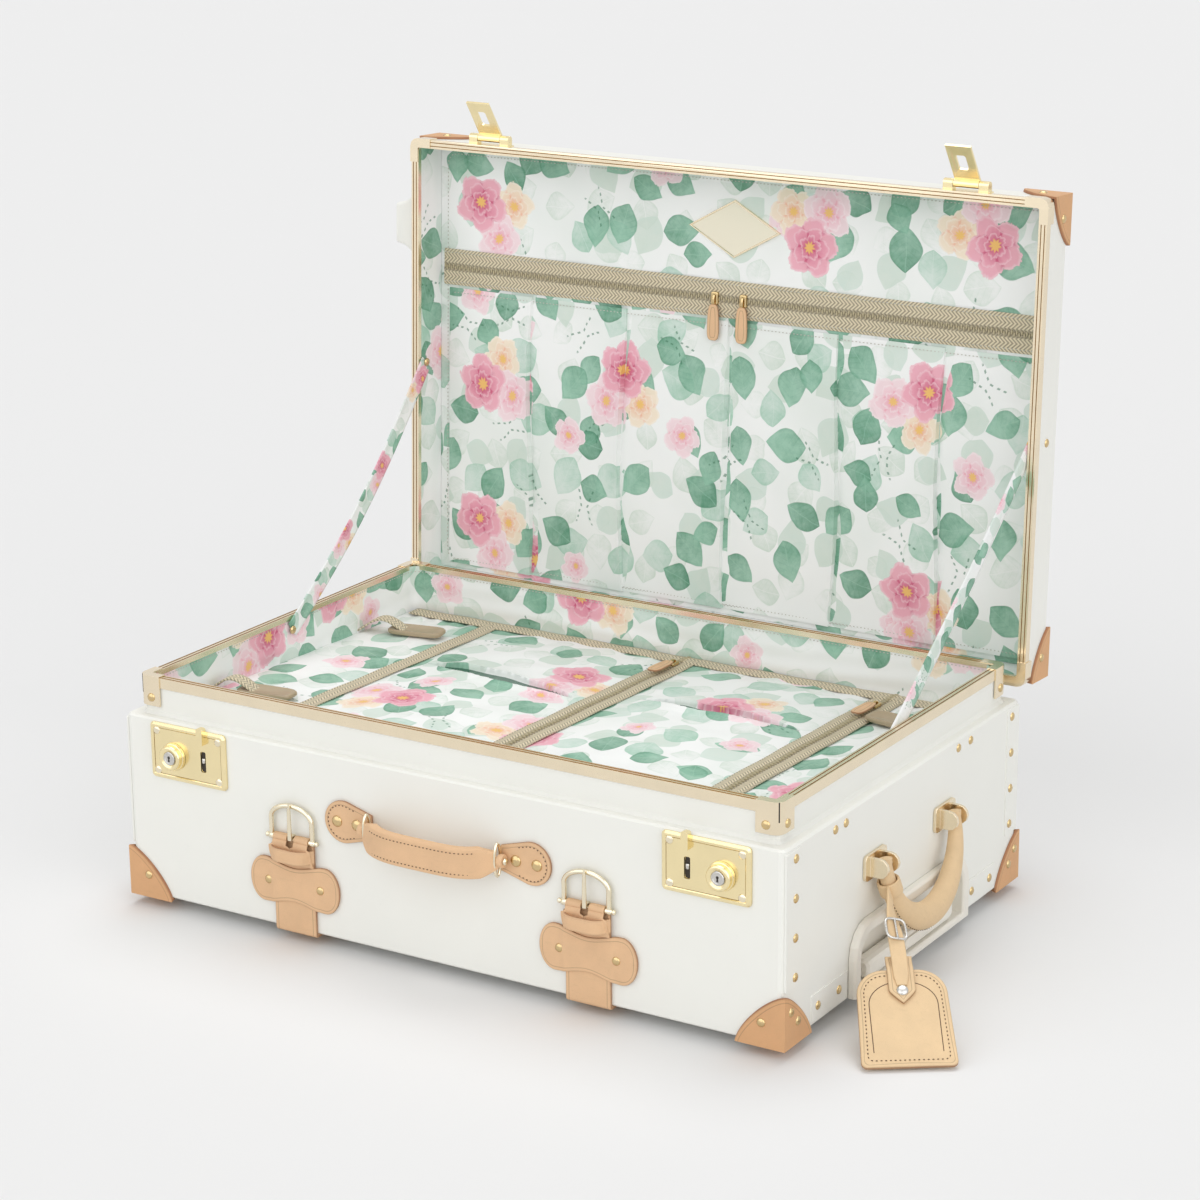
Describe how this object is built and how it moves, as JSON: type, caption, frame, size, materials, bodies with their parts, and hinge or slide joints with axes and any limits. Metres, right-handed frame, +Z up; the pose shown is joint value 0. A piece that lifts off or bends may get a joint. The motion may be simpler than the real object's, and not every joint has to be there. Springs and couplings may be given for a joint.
{
  "type": "spinner suitcase",
  "caption": "Vintage-style check-in suitcase lying open on its deep half, with latched lid, leather trim, lined pockets, trolley handle and swivel casters",
  "frame": {"origin": "centre of the flat bottom panel of the deep half", "axes": "+X towards the trolley-handle end, +Y towards the hinged back, +Z up"},
  "size_m": [0.8663, 0.5666, 0.7024],
  "materials": {
    "cream_board": "satin",
    "cream_plastic": "satin",
    "pale_gold": "polished",
    "leather_tan": "satin",
    "leather_pale": "satin",
    "lining_print": "matte",
    "aluminium": "satin",
    "wheel_plastic": "matte"
  },
  "bodies": {
    "base": {"base_shell": "cream_board", "base_frame": "pale_gold", "base_corner_front_left": "leather_tan", "base_corner_back_left": "leather_tan", "base_corner_front_right": "leather_tan", "base_corner_back_right": "leather_tan", "base_lining": "lining_print", "divider_panel": "lining_print", "lock_plate_left": "pale_gold", "lock_plate_right": "pale_gold", "front_handle_tab_left": "leather_tan", "front_handle_tab_right": "leather_tan", "front_strap_left": "leather_tan", "front_strap_right": "leather_tan", "side_handle_bracket_front": "pale_gold", "side_handle_bracket_back": "pale_gold", "trolley_cup": "cream_plastic", "hinge_base_leaf_left": "pale_gold", "hinge_base_leaf_right": "pale_gold", "lid_stay_left": "lining_print", "lid_stay_right": "lining_print"},
    "lid": {"lid_shell": "cream_board", "lid_frame": "pale_gold", "lid_corner_front_left": "leather_tan", "lid_corner_back_left": "leather_tan", "lid_corner_front_right": "leather_tan", "lid_corner_back_right": "leather_tan", "lid_lining": "lining_print", "lid_pocket": "lining_print", "hasp_base_left": "pale_gold", "hasp_base_right": "pale_gold", "hinge_lid_leaf_left": "pale_gold", "hinge_lid_leaf_right": "pale_gold"},
    "hasp_left": {"hasp_left": "pale_gold"},
    "lock_knob_left": {"lock_knob_left": "pale_gold"},
    "key_plug_left": {"key_plug_left": "aluminium"},
    "buckle_frame_left": {"buckle_frame_left": "pale_gold"},
    "buckle_prong_left": {"buckle_prong_left": "pale_gold"},
    "lid_slider_left": {"lid_slider_left": "pale_gold"},
    "hasp_right": {"hasp_right": "pale_gold"},
    "lock_knob_right": {"lock_knob_right": "pale_gold"},
    "key_plug_right": {"key_plug_right": "aluminium"},
    "buckle_frame_right": {"buckle_frame_right": "pale_gold"},
    "buckle_prong_right": {"buckle_prong_right": "pale_gold"},
    "lid_slider_right": {"lid_slider_right": "pale_gold"},
    "front_handle": {"front_handle_grip": "leather_tan"},
    "side_handle": {"side_handle_grip": "leather_pale"},
    "luggage_tag": {"luggage_tag": "leather_pale"},
    "trolley": {"trolley_handle": "cream_plastic"},
    "trolley_button": {"trolley_button": "wheel_plastic"},
    "caster_fork_base_back": {"caster_fork_base_back": "aluminium"},
    "caster_wheel_base_back": {"caster_wheel_base_back": "wheel_plastic"},
    "caster_fork_base_front": {"caster_fork_base_front": "aluminium"},
    "caster_wheel_base_front": {"caster_wheel_base_front": "wheel_plastic"},
    "caster_fork_base_upper": {"caster_fork_base_upper": "aluminium"},
    "caster_wheel_base_upper": {"caster_wheel_base_upper": "wheel_plastic"},
    "caster_fork_lid_front": {"caster_fork_lid_front": "aluminium"},
    "caster_wheel_lid_front": {"caster_wheel_lid_front": "wheel_plastic"},
    "divider_slider_mid": {"divider_slider_mid": "pale_gold"},
    "divider_slider_right": {"divider_slider_right": "pale_gold"}
  },
  "joints": [
    {"name": "lid_hinge", "type": "hinge", "parent": "base", "child": "lid", "pos_m": [0, 0.236, 0.181], "axis": [1, 0, 0], "range_deg": [0, 92.5], "deforming": ["lid_stay_left", "lid_stay_right"]},
    {"name": "hasp_left_hinge", "type": "hinge", "parent": "lid", "child": "hasp_left", "pos_m": [-0.264, 0.26645, 0.65152], "axis": [1, 0, 0], "range_deg": [-60, 54]},
    {"name": "lock_knob_left_slide", "type": "slide", "parent": "base", "child": "lock_knob_left", "axis": [-1, 0, 0], "range_m": [0, 0.007], "stiffness_N_per_m": 120},
    {"name": "key_plug_left_turn", "type": "hinge", "parent": "lock_knob_left", "child": "key_plug_left", "pos_m": [-0.292, -0.243, 0.145], "axis": [0, -1, 0], "range_deg": [0, 90]},
    {"name": "buckle_frame_left_hinge", "type": "hinge", "parent": "base", "child": "buckle_frame_left", "pos_m": [-0.158, -0.23205, 0.09], "axis": [1, 0, 0], "range_deg": [0, 70]},
    {"name": "buckle_prong_left_hinge", "type": "hinge", "parent": "buckle_frame_left", "child": "buckle_prong_left", "pos_m": [-0.158, -0.23205, 0.09], "axis": [1, 0, 0], "range_deg": [0, 20]},
    {"name": "lid_slider_left_slide", "type": "slide", "parent": "lid", "child": "lid_slider_left", "axis": [-1, 0, 0], "range_m": [0, 0.3]},
    {"name": "hasp_right_hinge", "type": "hinge", "parent": "lid", "child": "hasp_right", "pos_m": [0.264, 0.26645, 0.65152], "axis": [1, 0, 0], "range_deg": [-60, 54]},
    {"name": "lock_knob_right_slide", "type": "slide", "parent": "base", "child": "lock_knob_right", "axis": [1, 0, 0], "range_m": [0, 0.007], "stiffness_N_per_m": 120},
    {"name": "key_plug_right_turn", "type": "hinge", "parent": "lock_knob_right", "child": "key_plug_right", "pos_m": [0.292, -0.243, 0.145], "axis": [0, -1, 0], "range_deg": [0, 90]},
    {"name": "buckle_frame_right_hinge", "type": "hinge", "parent": "base", "child": "buckle_frame_right", "pos_m": [0.158, -0.23205, 0.09], "axis": [1, 0, 0], "range_deg": [0, 70]},
    {"name": "buckle_prong_right_hinge", "type": "hinge", "parent": "buckle_frame_right", "child": "buckle_prong_right", "pos_m": [0.158, -0.23205, 0.09], "axis": [1, 0, 0], "range_deg": [0, 20]},
    {"name": "lid_slider_right_slide", "type": "slide", "parent": "lid", "child": "lid_slider_right", "axis": [1, 0, 0], "range_m": [0, 0.3]},
    {"name": "front_handle_hinge", "type": "hinge", "parent": "base", "child": "front_handle", "pos_m": [0, -0.2374, 0.117], "axis": [-1, 0, 0], "range_deg": [0, 65]},
    {"name": "side_handle_hinge", "type": "hinge", "parent": "base", "child": "side_handle", "pos_m": [0.362, 0, 0.113], "axis": [0, -1, 0], "range_deg": [0, 100]},
    {"name": "tag_swing", "type": "hinge", "parent": "side_handle", "child": "luggage_tag", "pos_m": [0.36509, -0.06467, 0.0926], "axis": [-0.1422, -0.3142, 0.9386], "range_deg": [0, 25]},
    {"name": "trolley_slide", "type": "slide", "parent": "base", "child": "trolley", "axis": [1, 0, 0], "range_m": [0, 0.4]},
    {"name": "trolley_button_press", "type": "slide", "parent": "trolley", "child": "trolley_button", "axis": [-1, 0, 0], "range_m": [0, 0.0025], "stiffness_N_per_m": 300},
    {"name": "caster_swivel_base_back", "type": "hinge", "parent": "base", "child": "caster_fork_base_back", "pos_m": [-0.354, 0.141, 0.056], "axis": [-1, 0, 0], "continuous": true},
    {"name": "caster_spin_base_back", "type": "hinge", "parent": "caster_fork_base_back", "child": "caster_wheel_base_back", "pos_m": [-0.3695, 0.141, 0.0525], "axis": [0, 1, 0], "continuous": true},
    {"name": "caster_swivel_base_front", "type": "hinge", "parent": "base", "child": "caster_fork_base_front", "pos_m": [-0.354, -0.141, 0.056], "axis": [-1, 0, 0], "continuous": true},
    {"name": "caster_spin_base_front", "type": "hinge", "parent": "caster_fork_base_front", "child": "caster_wheel_base_front", "pos_m": [-0.3695, -0.141, 0.0525], "axis": [0, 1, 0], "continuous": true},
    {"name": "caster_swivel_base_upper", "type": "hinge", "parent": "base", "child": "caster_fork_base_upper", "pos_m": [-0.354, 0.141, 0.1513], "axis": [-1, 0, 0], "continuous": true},
    {"name": "caster_spin_base_upper", "type": "hinge", "parent": "caster_fork_base_upper", "child": "caster_wheel_base_upper", "pos_m": [-0.3695, 0.141, 0.1478], "axis": [0, 1, 0], "continuous": true},
    {"name": "caster_swivel_lid_front", "type": "hinge", "parent": "lid", "child": "caster_fork_lid_front", "pos_m": [-0.354, 0.27822, 0.55652], "axis": [-1, 0, 0], "continuous": true},
    {"name": "caster_spin_lid_front", "type": "hinge", "parent": "caster_fork_lid_front", "child": "caster_wheel_lid_front", "pos_m": [-0.3695, 0.27472, 0.55667], "axis": [0, -0.0436, -0.999], "continuous": true},
    {"name": "divider_slider_mid_slide", "type": "slide", "parent": "base", "child": "divider_slider_mid", "axis": [0, -0.9997, 0.024], "range_m": [0, 0.32]},
    {"name": "divider_slider_right_slide", "type": "slide", "parent": "base", "child": "divider_slider_right", "axis": [0, -0.9997, 0.024], "range_m": [0, 0.32]}
  ]
}
